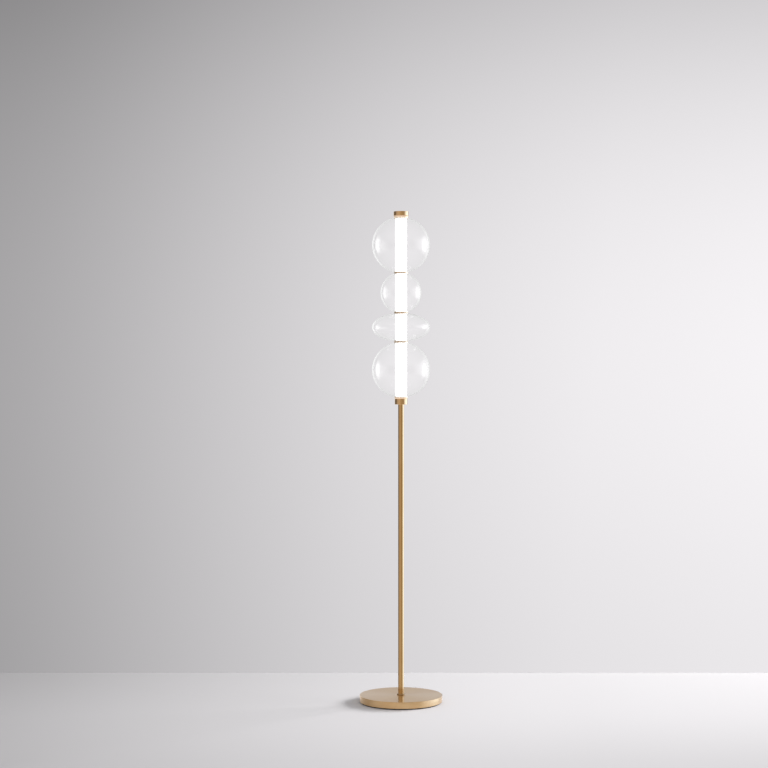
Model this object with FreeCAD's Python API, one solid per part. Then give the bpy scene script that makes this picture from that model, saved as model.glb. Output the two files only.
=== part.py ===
# Column floor lamp: a weighted brass base, a slim brass stem, and an opal light tube that runs up
# through four blown-glass globes parted by brass rings, all held down by a screwed end cap.
# Millimetres, +Z up, origin on the floor under the stem, cord inlet at the back (+Y).
import FreeCAD
import Part
import math
import os

Vector = FreeCAD.Vector
UP = Vector(0, 0, 1)
BACK = Vector(0, 1, 0)

# Base sizes
base_diameter = 270.0
base_side_height = 21.0
cover_wall = 2.0
cover_edge_radius = 1.2
cover_rim_chamfer = 0.7
pad_thickness = 4.0
pad_inset = 5.0
pad_edge_radius = 0.8
plate_thickness = 2.0
plate_edge_gap = 1.0
weight_edge_gap = 0.5
weight_chamfer = 1.5
plate_screw_count = 4
plate_screw_inset = 20.0
plate_screw_diameter = 4.0
plate_screw_head_diameter = 8.0
plate_screw_socket = 2.4
plate_screw_length = 10.0

# Cord gland sizes
gland_bore_diameter = 7.5
gland_nose_wall = 1.4
gland_flange_width = 1.5
gland_flange_thickness = 2.5
gland_tail_length = 3.0
cord_room = 4.0

# Driver sizes
driver_width = 40.0
driver_ceiling = 3.0
driver_corner_radius = 3.0
driver_ear_length = 8.0
driver_ear_width = 18.0
driver_ear_thickness = 3.0
driver_screw_diameter = 3.0
driver_screw_head_diameter = 5.5
driver_screw_head_height = 2.0
pocket_wall = 6.0
terminal_count = 3
terminal_pitch = 7.0
terminal_diameter = 3.6
terminal_depth = 9.0

# Low voltage lead sizes
lead_diameter = 2.4
lead_bend_radius = 12.0
lead_insert = 5.0
lead_shift_length = 60.0
lead_straight_length = 20.0

# Stem sizes
stem_diameter = 19.0
stem_wall = 1.5
stem_visible_length = 948.6
foot_collar_width = 4.0
foot_collar_height = 4.5
foot_collar_radius = 2.0
wire_cavity_height = 6.0
flange_width = 20.5
flange_thickness = 4.0
flange_screw_count = 3
flange_screw_reach = 12.3
flange_screw_diameter = 5.0
flange_screw_head_diameter = 9.0
flange_screw_head_height = 3.0
flange_screw_socket = 4.0
flange_socket_depth = 1.8
web_skin = 1.0

# Lower holder sizes
stem_seat_depth = 9.3
holder_web_thickness = 6.0
diffuser_seat_depth = 3.0
holder_wall = 2.05
lower_collar_width = 3.1
lower_collar_thickness = 5.5
lock_screw_diameter = 4.0
lock_screw_socket = 2.0
lock_screw_inset = 1.0

# Light engine sizes
rod_diameter = 6.0
rod_point = 0.6
core_foot_height = 10.0
feed_board_thickness = 1.6
core_flat_count = 6
core_across_flats = 16.0
core_corner_radius = 1.0
core_end_gap = 12.0
strip_width = 8.0
strip_thickness = 1.0
strip_end_gap = 2.0
chip_length = 3.5
chip_width = 2.8
chip_thickness = 0.7
chip_pitch = 24.0
guide_thickness = 4.0
guide_hub_width = 6.0
guide_arm_width = 5.0
guide_arm_count = 3
washer_thickness = 1.2
washer_width = 3.0
nut_across_flats = 10.0
nut_height = 5.0
diffuser_diameter = 37.0
diffuser_wall = 2.0

# Globe and ring sizes; a span is the room between two rings, gaskets included
large_globe_diameter = 190.0
large_globe_span = 179.0
disc_globe_diameter = large_globe_diameter
disc_globe_span = 93.0
small_globe_diameter = 134.0
small_globe_span = 127.0
glass_wall = 2.2
glass_land_width = 2.0
ring_width = 4.1
ring_thickness = 3.0
ring_edge_radius = 0.9
gasket_thickness = 1.0
gasket_lip_wall = 1.3
gasket_lip_height = 1.6

# Top sizes
top_collar_thickness = 5.6
top_collar_step = 0.25
sleeve_wall = 1.5
sleeve_height = 4.0
sleeve_reveal = 1.0
expansion_gap = 1.6
cap_rim_wall = 4.0
cap_crown = 2.0
thread_engagement = 6.0
clip_wire_diameter = 1.1
clip_opening_angle = 24.0
turned_edge_radius = 0.8

# Clearances
thread_fit = 0.05
slip_fit = 0.1
sleeve_fit = 0.2
clip_fit = 0.15
ring_gap = 0.4
free_gap = 0.3
screw_tip_gap = 0.5

# Radii that several pieces share
base_radius = base_diameter / 2
cover_inner_radius = base_radius - cover_wall
weight_radius = cover_inner_radius - weight_edge_gap
plate_radius = cover_inner_radius - plate_edge_gap
pad_radius = base_radius - pad_inset
stem_radius = stem_diameter / 2
stem_bore_radius = stem_radius - stem_wall
stem_hole_radius = stem_radius + free_gap
flange_radius = stem_radius + flange_width
flange_seat_radius = flange_radius + free_gap
flange_screw_circle = stem_radius + flange_screw_reach
rod_radius = rod_diameter / 2
rod_hole_radius = rod_radius + sleeve_fit
tapped_rod_radius = rod_radius + thread_fit
lead_radius = lead_diameter / 2
lead_hole_radius = lead_radius + free_gap
lead_offset = (rod_radius + stem_bore_radius) / 2
diffuser_radius = diffuser_diameter / 2
diffuser_bore_radius = diffuser_radius - diffuser_wall
diffuser_seat_radius = diffuser_radius + sleeve_fit
ring_bore_radius = diffuser_radius + ring_gap
ring_radius = ring_bore_radius + ring_width
holder_radius = diffuser_seat_radius + holder_wall
lower_collar_radius = ring_bore_radius + lower_collar_width
lip_radius = ring_bore_radius + gasket_lip_wall
mouth_radius = lip_radius + ring_gap
land_radius = mouth_radius + glass_land_width
sleeve_radius = ring_bore_radius + sleeve_wall
cap_recess_radius = sleeve_radius + sleeve_fit
cap_radius = cap_recess_radius + cap_rim_wall
top_collar_radius = cap_radius - top_collar_step
core_apothem = core_across_flats / 2
centring_radius = diffuser_bore_radius - free_gap

# Heights, from the floor up
plate_bottom = pad_thickness
plate_top = plate_bottom + plate_thickness
base_top = plate_bottom + base_side_height
cover_under = base_top - cover_wall
flange_bottom = plate_top + wire_cavity_height
flange_top = flange_bottom + flange_thickness
lead_height = plate_top + wire_cavity_height / 2
driver_bottom = plate_top + screw_tip_gap
driver_top = cover_under - driver_ceiling
gland_height = plate_bottom + base_side_height / 2
holder_bottom = base_top + stem_visible_length
stem_top = holder_bottom + stem_seat_depth
web_top = stem_top + holder_web_thickness
holder_top = web_top + diffuser_seat_depth
lower_collar_top = holder_top + lower_collar_thickness
board_bottom = web_top + core_foot_height
core_bottom = board_bottom + feed_board_thickness
disc_bottom = lower_collar_top + large_globe_span + ring_thickness
small_bottom = disc_bottom + disc_globe_span + ring_thickness
top_globe_bottom = small_bottom + small_globe_span + ring_thickness
top_collar_bottom = top_globe_bottom + large_globe_span
top_collar_top = top_collar_bottom + top_collar_thickness
diffuser_top = top_collar_top + sleeve_height - sleeve_reveal
clip_height = top_collar_top + sleeve_height / 2
cap_recess_top = top_collar_top + sleeve_height + expansion_gap
rod_top = cap_recess_top + thread_engagement
cap_bore_top = rod_top + screw_tip_gap
cap_top = cap_bore_top + cap_crown
core_top = top_collar_bottom - core_end_gap
guide_top = core_top + guide_thickness
washer_top = guide_top + washer_thickness

# Places along the back of the base, measured from the stem's axis
gland_nose_radius = gland_bore_diameter / 2 + gland_nose_wall
gland_flange_radius = gland_nose_radius + gland_flange_width
gland_nose_end = math.sqrt(base_radius**2 - gland_nose_radius**2)
gland_flange_front = math.sqrt(cover_inner_radius**2 - gland_flange_radius**2) - slip_fit
gland_flange_back = gland_flange_front - gland_flange_thickness
gland_tail_end = gland_flange_back - gland_tail_length
pocket_front = flange_seat_radius + pocket_wall
pocket_back = gland_tail_end - cord_room
driver_front = pocket_front + free_gap + driver_ear_length
driver_back = pocket_back - free_gap - driver_ear_length

os.makedirs("parts", exist_ok=True)


def save(name, *solids):
    """Write one node: a single piece, or a group of like pieces."""
    shape = solids[0] if len(solids) == 1 else Part.makeCompound(list(solids))
    shape.exportStep(f"parts/{name}.step")


def lathe(*corners):
    """A turned piece: a closed outline of (radius, height) corners, spun about the stem's axis."""
    points = [Vector(radius, 0, height) for radius, height in corners]
    face = Part.Face(Part.makePolygon(points + points[:1]))
    return face.revolve(Vector(), UP, 360)


def turned_ring(bore, radius, bottom, top):
    """A plain turned ring of rectangular section."""
    return lathe((bore, bottom), (radius, bottom), (radius, top), (bore, top))


def rim_edges(solid, *rims):
    """The circular edges of a turned piece at the given (radius, height) places."""
    found = []
    for edge in solid.Edges:
        if not isinstance(edge.Curve, Part.Circle):
            continue
        for radius, height in rims:
            same_radius = abs(edge.Curve.Radius - radius) < 1e-6
            same_height = abs(edge.Curve.Center.z - height) < 1e-6
            if same_radius and same_height:
                found.append(edge)
    return found


def upright_edges(solid):
    """The straight edges that stand along +Z."""
    return [edge for edge in solid.Edges if abs(edge.BoundBox.ZLength - edge.Length) < 1e-6]


def hexagon(across_flats, bottom, height):
    """A hexagonal prism about the stem's axis, with a flat facing +X."""
    corner_radius = across_flats / math.sqrt(3)
    angles = [math.radians(30 + 60 * step) for step in range(7)]
    corners = [Vector(math.cos(a), math.sin(a), 0) * corner_radius + UP * bottom for a in angles]
    return Part.Face(Part.makePolygon(corners)).extrude(UP * height)


def turned_about_axis(solid, count, start_angle=0.0):
    """Copies of a piece, evenly spaced about the stem's axis."""
    copies = []
    for step in range(count):
        copy = solid.copy()
        copy.rotate(Vector(), UP, start_angle + 360 * step / count)
        copies.append(copy)
    return copies


def centred_box(width, front, back, bottom, top):
    """A box that is centred on the lamp's middle plane and lies between two places along Y."""
    corner = Vector(-width / 2, front, bottom)
    return Part.makeBox(width, back - front, top - bottom, corner)


# Rubber pad under the base, set in from the rim so that the base seems to float
base_pad = lathe((0, 0), (pad_radius, 0), (pad_radius, plate_bottom), (0, plate_bottom))
base_pad = base_pad.makeFillet(pad_edge_radius, rim_edges(base_pad, (pad_radius, 0)))
save("base_pad", base_pad)

# Countersunk screws that hold the bottom plate up against the weight
plate_screw_circle = plate_radius - plate_screw_inset
plate_screw_angle = 180 / plate_screw_count
screw_radius = plate_screw_diameter / 2
screw_head_radius = plate_screw_head_diameter / 2
screw_cone_top = plate_bottom + screw_head_radius - screw_radius
screw_tip = plate_bottom + plate_screw_length
plate_screw = lathe(
    (0, plate_bottom),
    (screw_head_radius, plate_bottom),
    (screw_radius, screw_cone_top),
    (screw_radius, screw_tip),
    (0, screw_tip),
)
plate_screw = plate_screw.cut(hexagon(plate_screw_socket, plate_bottom, screw_radius))
plate_screw.translate(Vector(plate_screw_circle, 0, 0))
save("base_plate_screws", *turned_about_axis(plate_screw, plate_screw_count, plate_screw_angle))

# Sheet steel plate that closes the base, countersunk for its screws
countersink = lathe(
    (0, plate_bottom),
    (screw_head_radius + slip_fit, plate_bottom),
    (screw_radius + slip_fit, screw_cone_top),
    (screw_radius + slip_fit, screw_tip + screw_tip_gap),
    (0, screw_tip + screw_tip_gap),
)
countersink.translate(Vector(plate_screw_circle, 0, 0))
plate_screw_holes = turned_about_axis(countersink, plate_screw_count, plate_screw_angle)
base_plate = lathe((0, plate_bottom), (plate_radius, plate_bottom), (plate_radius, plate_top), (0, plate_top))
save("base_bottom_plate", base_plate.cut(plate_screw_holes))

# Screws that hold the stem's flange up against the weight
flange_screw_radius = flange_screw_diameter / 2
flange_head_radius = flange_screw_head_diameter / 2
flange_head_bottom = flange_bottom - flange_screw_head_height
flange_hole_top = cover_under - web_skin
flange_screw_tip = flange_hole_top - screw_tip_gap
flange_screw_angle = 90 + 180 / flange_screw_count
flange_screw = lathe(
    (0, flange_head_bottom),
    (flange_head_radius, flange_head_bottom),
    (flange_head_radius, flange_bottom),
    (flange_screw_radius, flange_bottom),
    (flange_screw_radius, flange_screw_tip),
    (0, flange_screw_tip),
)
flange_socket = hexagon(flange_screw_socket, flange_head_bottom, flange_socket_depth)
flange_screw = flange_screw.cut(flange_socket)
flange_screw.translate(Vector(flange_screw_circle, 0, 0))
save("flange_screws", *turned_about_axis(flange_screw, flange_screw_count, flange_screw_angle))

# Steel flange brazed on the stem's lower end, with the screws' clearance holes
flange_hole_foot = Vector(flange_screw_circle, 0, flange_bottom)
flange_hole_depth = flange_hole_top - flange_bottom
flange_hole = Part.makeCylinder(flange_screw_radius + slip_fit, flange_hole_depth, flange_hole_foot)
flange_holes = turned_about_axis(flange_hole, flange_screw_count, flange_screw_angle)
foot_flange = turned_ring(stem_radius + slip_fit, flange_radius, flange_bottom, flange_top)
save("foot_flange", foot_flange.cut(flange_holes))

# Slim driver in the weight's pocket, with an ear at each end and terminals in its end faces
ear_hole_radius = driver_screw_diameter / 2 + slip_fit
ear_bottom = driver_top - driver_ear_thickness
driver_case = centred_box(driver_width, driver_front, driver_back, driver_bottom, driver_top)
driver_case = driver_case.makeFillet(driver_corner_radius, upright_edges(driver_case))
ear_front = driver_front - driver_ear_length
ear_back = driver_back + driver_ear_length
ear_plate = centred_box(driver_ear_width, ear_front, ear_back, ear_bottom, driver_top)
ear_plate = ear_plate.makeFillet(driver_ear_length / 2, upright_edges(ear_plate))
driver_screw_places = [ear_front + driver_ear_length / 2, ear_back - driver_ear_length / 2]
driver_cuts = []
for place in driver_screw_places:
    hole_foot = Vector(0, place, ear_bottom)
    driver_cuts.append(Part.makeCylinder(ear_hole_radius, driver_ear_thickness, hole_foot))
for step in range(terminal_count):
    across = (step - (terminal_count - 1) / 2) * terminal_pitch
    mouth = Vector(across, driver_back, gland_height)
    driver_cuts.append(Part.makeCylinder(terminal_diameter / 2, terminal_depth, mouth, -BACK))
lead_mouth = Vector(0, driver_front, lead_height)
driver_cuts.append(Part.makeCylinder(lead_hole_radius, lead_insert, lead_mouth, BACK))
save("led_driver", driver_case.fuse(ear_plate).cut(driver_cuts))

# Pan head screws through the driver's ears
driver_hole_top = cover_under - web_skin
driver_screw_tip = driver_hole_top - screw_tip_gap
driver_head_radius = driver_screw_head_diameter / 2
driver_screws = []
for place in driver_screw_places:
    driver_screw = lathe(
        (0, ear_bottom - driver_screw_head_height),
        (driver_head_radius, ear_bottom - driver_screw_head_height),
        (driver_head_radius, ear_bottom),
        (driver_screw_diameter / 2, ear_bottom),
        (driver_screw_diameter / 2, driver_screw_tip),
        (0, driver_screw_tip),
    )
    driver_screw.translate(Vector(0, place, 0))
    driver_screws.append(driver_screw)
save("driver_screws", *driver_screws)

# Rubber cord gland, pushed through the cover from inside and trapped by the weight
gland_outline = [
    (gland_bore_diameter / 2, gland_tail_end),
    (gland_nose_radius, gland_tail_end),
    (gland_nose_radius, gland_flange_back),
    (gland_flange_radius, gland_flange_back),
    (gland_flange_radius, gland_flange_front),
    (gland_nose_radius, gland_flange_front),
    (gland_nose_radius, gland_nose_end),
    (gland_bore_diameter / 2, gland_nose_end),
]
cord_gland = lathe(*gland_outline)
cord_gland.rotate(Vector(), Vector(1, 0, 0), -90)
cord_gland.translate(UP * gland_height)
save("cord_gland", cord_gland)

# Cast iron weight: seat for the flange, pocket for the driver, channels for lead and cord
base_weight = lathe(
    (0, plate_top),
    (weight_radius, plate_top),
    (weight_radius, cover_under),
    (0, cover_under),
)
weight_rims = rim_edges(base_weight, (weight_radius, plate_top), (weight_radius, cover_under))
base_weight = base_weight.makeChamfer(weight_chamfer, weight_rims)
lead_channel_width = driver_ear_width / 2
cord_channel_width = 2 * (gland_nose_radius + free_gap)
gland_notch_width = 2 * (gland_flange_radius + free_gap)
pocket_width = driver_width + 2 * free_gap
weight_cuts = [
    Part.makeCylinder(stem_hole_radius, cover_under, Vector()),
    Part.makeCylinder(flange_seat_radius, flange_top, Vector()),
    centred_box(pocket_width, pocket_front, pocket_back, 0, driver_top),
    centred_box(lead_channel_width, 0, pocket_front, 0, flange_bottom),
    centred_box(cord_channel_width, pocket_back, base_radius, 0, cover_under),
    centred_box(gland_notch_width, gland_flange_back, base_radius, 0, cover_under),
]
weight_cuts += plate_screw_holes
weight_cuts += flange_holes
for place in driver_screw_places:
    hole_foot = Vector(0, place, driver_top)
    weight_cuts.append(Part.makeCylinder(ear_hole_radius, driver_hole_top - driver_top, hole_foot))
save("base_weight", base_weight.cut(weight_cuts))

# Spun brass cover: rolled top edge, chamfered rim, holes for the stem and the cord gland
base_cover = lathe(
    (stem_hole_radius, cover_under),
    (cover_inner_radius, cover_under),
    (cover_inner_radius, plate_bottom),
    (base_radius, plate_bottom),
    (base_radius, base_top),
    (stem_hole_radius, base_top),
)
base_cover = base_cover.makeFillet(cover_edge_radius, rim_edges(base_cover, (base_radius, base_top)))
base_cover = base_cover.makeChamfer(cover_rim_chamfer, rim_edges(base_cover, (base_radius, plate_bottom)))
gland_hole_foot = Vector(0, gland_flange_back, gland_height)
gland_hole = Part.makeCylinder(gland_nose_radius + slip_fit, base_radius, gland_hole_foot, BACK)
save("base_cover", base_cover.cut(gland_hole))

# Drawn brass stem, open at both ends for the lead
save("stem_tube", turned_ring(stem_bore_radius, stem_radius, flange_bottom, stem_top))

# Turned collar that hides the hole where the stem enters the base
foot_collar_top = base_top + foot_collar_height
foot_collar_outer = stem_radius + foot_collar_width
foot_collar = turned_ring(stem_radius + slip_fit, foot_collar_outer, base_top, foot_collar_top)
foot_collar_rim = rim_edges(foot_collar, (foot_collar_outer, foot_collar_top))
foot_collar = foot_collar.makeFillet(foot_collar_radius, foot_collar_rim)
save("foot_collar", foot_collar)

# Low voltage lead: out of the driver, up the stem, then aside past the tie rod to the feed board
shift_end = stem_top - lead_straight_length
shift_start = shift_end - lead_shift_length
shift_radius = (lead_offset**2 + lead_shift_length**2) / (4 * lead_offset)
shift_half_angle = math.asin(lead_shift_length / 2 / shift_radius) / 2
shift_rise = shift_radius * math.sin(shift_half_angle)
shift_side = shift_radius * (1 - math.cos(shift_half_angle))
bend_saving = lead_bend_radius * (1 - math.sqrt(0.5))
lead_start = Vector(0, driver_front + lead_insert, lead_height)
bend_start = Vector(0, lead_bend_radius, lead_height)
bend_middle = Vector(0, bend_saving, lead_height + bend_saving)
bend_end = UP * (lead_height + lead_bend_radius)
shift_foot = UP * shift_start
shift_foot_arc = Vector(0, shift_side, shift_start + shift_rise)
shift_middle = Vector(0, lead_offset / 2, (shift_start + shift_end) / 2)
shift_head_arc = Vector(0, lead_offset - shift_side, shift_end - shift_rise)
shift_head = Vector(0, lead_offset, shift_end)
lead_end = Vector(0, lead_offset, board_bottom)
lead_runs = [
    Part.LineSegment(lead_start, bend_start),
    Part.Arc(bend_start, bend_middle, bend_end),
    Part.LineSegment(bend_end, shift_foot),
    Part.Arc(shift_foot, shift_foot_arc, shift_middle),
    Part.Arc(shift_middle, shift_head_arc, shift_head),
    Part.LineSegment(shift_head, lead_end),
]
lead_path = Part.Wire([run.toShape() for run in lead_runs])
lead_section = Part.Wire(Part.makeCircle(lead_radius, lead_start, -BACK))
led_lead = lead_path.makePipeShell([lead_section], True, False)
lead_volume = math.pi * lead_radius**2 * lead_path.Length
print(f"led_lead: volume {led_lead.Volume:.1f}, section times length {lead_volume:.1f}")
print(f"led_lead: bend radius {lead_bend_radius:.1f}, shift radius {shift_radius:.1f}")
save("led_lead", led_lead)

# Turned brass holder on the stem: stem socket below, tapped web, diffuser seat above
lock_height = holder_bottom + stem_seat_depth / 2
lock_radius = lock_screw_diameter / 2
lower_cap = lathe(
    (stem_radius + slip_fit, holder_bottom),
    (holder_radius, holder_bottom),
    (holder_radius, holder_top),
    (diffuser_seat_radius, holder_top),
    (diffuser_seat_radius, web_top),
    (tapped_rod_radius, web_top),
    (tapped_rod_radius, stem_top),
    (stem_radius + slip_fit, stem_top),
)
lower_cap = lower_cap.makeFillet(turned_edge_radius, rim_edges(lower_cap, (holder_radius, holder_bottom)))
lead_passage = Part.makeCylinder(lead_hole_radius, core_bottom - stem_top, Vector(0, lead_offset, stem_top))
lock_hole = Part.makeCylinder(lock_radius + thread_fit, holder_radius, UP * lock_height, BACK)
save("lower_cap", lower_cap.cut([lead_passage, lock_hole]))

# Grub screw at the back that locks the holder on the stem
lock_start = stem_radius + thread_fit
lock_length = holder_radius - lock_screw_inset - lock_start
lock_screw = Part.makeCylinder(lock_radius, lock_length)
lock_screw = lock_screw.cut(hexagon(lock_screw_socket, lock_length - lock_radius, lock_radius))
lock_screw.rotate(Vector(), Vector(1, 0, 0), -90)
lock_screw.translate(Vector(0, lock_start, lock_height))
save("stem_lock_screw", lock_screw)

# Turned brass collar under the lowest globe
lower_collar = turned_ring(ring_bore_radius, lower_collar_radius, holder_top, lower_collar_top)
lower_collar_rims = [(lower_collar_radius, holder_top), (lower_collar_radius, lower_collar_top)]
lower_collar = lower_collar.makeFillet(turned_edge_radius, rim_edges(lower_collar, *lower_collar_rims))
save("lower_collar", lower_collar)

# Tie rod, screwed into the holder's web, which holds the stack together up to the end cap
tie_rod = lathe(
    (0, stem_top),
    (rod_radius - rod_point, stem_top),
    (rod_radius, stem_top + rod_point),
    (rod_radius, rod_top - rod_point),
    (rod_radius - rod_point, rod_top),
    (0, rod_top),
)
save("tie_rod", tie_rod)

# Nylon foot that stands on the web and centres the core in the diffuser
core_foot = turned_ring(rod_hole_radius, centring_radius, web_top, board_bottom)
save("core_foot", core_foot.cut(lead_passage))

# Round circuit board between the lead and the strips
save("feed_board", turned_ring(rod_hole_radius, centring_radius, board_bottom, core_bottom))

# Extruded hexagonal heat sink, threaded over the rod
led_core = hexagon(core_across_flats, core_bottom, core_top - core_bottom)
led_core = led_core.makeFillet(core_corner_radius, upright_edges(led_core))
rod_passage = Part.makeCylinder(rod_hole_radius, core_top - core_bottom, UP * core_bottom)
save("led_core", led_core.cut(rod_passage))

# Six circuit strips on the core's flats, each with a row of light-emitting chips
strip_bottom = core_bottom + strip_end_gap
strip_length = core_top - strip_end_gap - strip_bottom
chip_count = int(strip_length / chip_pitch)
first_chip = strip_bottom + (strip_length - (chip_count - 1) * chip_pitch - chip_length) / 2
strip_corner = Vector(core_apothem, -strip_width / 2, strip_bottom)
strip_board = Part.makeBox(strip_thickness, strip_width, strip_length, strip_corner)
chips = []
for step in range(chip_count):
    chip_corner = Vector(core_apothem + strip_thickness, -chip_width / 2, first_chip + step * chip_pitch)
    chips.append(Part.makeBox(chip_thickness, chip_width, chip_length, chip_corner))
save("led_strips", *turned_about_axis(strip_board.multiFuse(chips), core_flat_count))

# Nylon spider that centres the core's upper end in the diffuser
guide_hub = turned_ring(rod_hole_radius, rod_hole_radius + guide_hub_width, core_top, guide_top)
guide_corner = Vector(rod_hole_radius + guide_hub_width / 2, -guide_arm_width / 2, core_top)
guide_arm = Part.makeBox(centring_radius, guide_arm_width, guide_thickness, guide_corner)
core_guide = guide_hub.multiFuse(turned_about_axis(guide_arm, guide_arm_count))
guide_limit = Part.makeCylinder(centring_radius, guide_thickness, UP * core_top)
save("core_guide", core_guide.common(guide_limit))

# Washer and nut that clamp the core on the rod
save("core_washer", turned_ring(rod_hole_radius, rod_hole_radius + washer_width, guide_top, washer_top))
nut_bore = Part.makeCylinder(tapped_rod_radius, nut_height, UP * washer_top)
save("core_nut", hexagon(nut_across_flats, washer_top, nut_height).cut(nut_bore))

# Opal diffuser tube, seated in the holder and free to grow into the end cap
save("diffuser_tube", turned_ring(diffuser_bore_radius, diffuser_radius, web_top, diffuser_top))


def ellipse_side(radius, half_height, rise):
    """The outer side of an upright ellipse, from -rise to +rise, in two edges that meet at its equator."""
    equator = Vector(radius, 0, 0)
    pole = UP * half_height
    angle = math.asin(rise / half_height)
    if radius >= half_height:
        curve = Part.Ellipse(equator, pole, Vector())
        widest = 0.0
    else:
        curve = Part.Ellipse(pole, equator, Vector())
        widest = math.pi / 2
    stops = [widest - angle, widest, widest + angle]
    return [Part.ArcOfEllipse(curve, start, end).toShape() for start, end in zip(stops, stops[1:])]


def blown_globe(diameter, span, bottom):
    """A blown-glass shell of even wall, ground flat and bored through at both poles."""
    radius = diameter / 2
    rim_height = span / 2 - gasket_thickness
    pole_height = rim_height / math.sqrt(1 - (land_radius / radius) ** 2)
    inner_radius = radius - glass_wall
    inner_pole = pole_height - glass_wall
    inner_rise = inner_pole * math.sqrt(1 - (mouth_radius / inner_radius) ** 2)
    outline = ellipse_side(radius, pole_height, rim_height)
    outline += ellipse_side(inner_radius, inner_pole, inner_rise)
    for side in (-1, 1):
        land = Vector(land_radius, 0, side * rim_height)
        lip = Vector(mouth_radius, 0, side * rim_height)
        throat = Vector(mouth_radius, 0, side * inner_rise)
        outline.append(Part.makeLine(land, lip))
        outline.append(Part.makeLine(lip, throat))
    section = Part.Face(Part.Wire(Part.__sortEdges__(outline)))
    globe = section.revolve(Vector(), UP, 360)
    globe.translate(UP * (bottom + span / 2))
    return globe


def neck_gasket(seat, lip_side):
    """A clear silicone ring on a brass face, with a lip that centres the glass on the light tube."""
    face = seat + lip_side * gasket_thickness
    lip_end = face + lip_side * gasket_lip_height
    return lathe(
        (ring_bore_radius, seat),
        (land_radius, seat),
        (land_radius, face),
        (lip_radius, face),
        (lip_radius, lip_end),
        (ring_bore_radius, lip_end),
    )


def dividing_ring(bottom):
    """A thin turned brass ring with rounded edges, between two globes."""
    ring = turned_ring(ring_bore_radius, ring_radius, bottom, bottom + ring_thickness)
    rims = rim_edges(ring, (ring_radius, bottom), (ring_radius, bottom + ring_thickness))
    return ring.makeFillet(ring_edge_radius, rims)


# Four globes, each on a gasket at either end
globes = [
    ("globe_bottom", large_globe_diameter, large_globe_span, lower_collar_top),
    ("globe_disc", disc_globe_diameter, disc_globe_span, disc_bottom),
    ("globe_small", small_globe_diameter, small_globe_span, small_bottom),
    ("globe_top", large_globe_diameter, large_globe_span, top_globe_bottom),
]
gaskets = []
for name, diameter, span, bottom in globes:
    save(name, blown_globe(diameter, span, bottom))
    gaskets.append(neck_gasket(bottom, 1))
    gaskets.append(neck_gasket(bottom + span, -1))
save("neck_gaskets", *gaskets)

# Three brass rings that part the globes
save("ring_lower", dividing_ring(disc_bottom - ring_thickness))
save("ring_middle", dividing_ring(small_bottom - ring_thickness))
save("ring_upper", dividing_ring(top_globe_bottom - ring_thickness))

# Spring wire clip, open like a circlip, that keeps the collar in the end cap
clip_radius = clip_wire_diameter / 2
clip_circle = (sleeve_radius + cap_recess_radius) / 2


def clip_torus(section_radius, angle):
    """A round section swept about the stem's axis through an angle, at the clip's place."""
    section = Part.Wire(Part.makeCircle(section_radius, Vector(clip_circle, 0, clip_height), BACK))
    return Part.Face(section).revolve(Vector(), UP, angle)


save("collar_clip", clip_torus(clip_radius, 360 - clip_opening_angle))

# Turned collar under the end cap, with a grooved sleeve that turns freely inside the cap
sleeve_top = top_collar_top + sleeve_height
top_collar = lathe(
    (ring_bore_radius, top_collar_bottom),
    (top_collar_radius, top_collar_bottom),
    (top_collar_radius, top_collar_top),
    (sleeve_radius, top_collar_top),
    (sleeve_radius, sleeve_top),
    (ring_bore_radius, sleeve_top),
)
top_collar_rims = [(top_collar_radius, top_collar_bottom), (top_collar_radius, top_collar_top)]
top_collar = top_collar.makeFillet(turned_edge_radius, rim_edges(top_collar, *top_collar_rims))
save("top_collar", top_collar.cut(clip_torus(clip_radius + clip_fit, 360)))

# Turned end cap, screwed on the tie rod, which presses the stack together through its collar
top_cap = lathe(
    (cap_recess_radius, top_collar_top),
    (cap_radius, top_collar_top),
    (cap_radius, cap_top),
    (0, cap_top),
    (0, cap_bore_top),
    (tapped_rod_radius, cap_bore_top),
    (tapped_rod_radius, cap_recess_top),
    (cap_recess_radius, cap_recess_top),
)
top_cap_rims = [(cap_radius, top_collar_top), (cap_radius, cap_top)]
top_cap = top_cap.makeFillet(turned_edge_radius, rim_edges(top_cap, *top_cap_rims))
save("top_cap", top_cap.cut(clip_torus(clip_radius + thread_fit, 360)))

print(f"overall height {cap_top:.1f}, base {base_diameter:.1f}")
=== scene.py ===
import math

import bpy
import numpy as np
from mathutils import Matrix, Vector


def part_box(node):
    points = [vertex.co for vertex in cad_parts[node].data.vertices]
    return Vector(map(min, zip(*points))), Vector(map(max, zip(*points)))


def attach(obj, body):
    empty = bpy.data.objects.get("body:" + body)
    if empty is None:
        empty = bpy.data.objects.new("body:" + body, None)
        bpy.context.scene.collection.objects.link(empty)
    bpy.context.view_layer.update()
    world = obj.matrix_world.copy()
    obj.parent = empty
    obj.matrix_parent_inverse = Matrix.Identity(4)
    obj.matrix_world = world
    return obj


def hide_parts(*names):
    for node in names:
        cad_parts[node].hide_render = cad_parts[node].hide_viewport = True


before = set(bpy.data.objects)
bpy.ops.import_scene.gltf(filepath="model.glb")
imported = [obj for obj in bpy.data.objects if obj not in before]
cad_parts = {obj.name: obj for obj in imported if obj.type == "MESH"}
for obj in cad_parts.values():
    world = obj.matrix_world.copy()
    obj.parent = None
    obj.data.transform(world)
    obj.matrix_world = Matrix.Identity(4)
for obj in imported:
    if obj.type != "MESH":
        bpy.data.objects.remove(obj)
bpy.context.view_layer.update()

# The camera stands level in front of the lamp, so that upright lines stay upright. It is a little to
# the left, at about two thirds of the lamp's height, and has a long lens.
IMAGE_SIDE = 768
LENS_PIXELS = 1677.0
SENSOR_WIDTH = 36.0
CAMERA_PLACE = (-0.0556, -5.483, 1.0405)
camera_data = bpy.data.cameras.new("front_camera")
camera_data.sensor_width = SENSOR_WIDTH
camera_data.lens = SENSOR_WIDTH * LENS_PIXELS / IMAGE_SIDE
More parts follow.
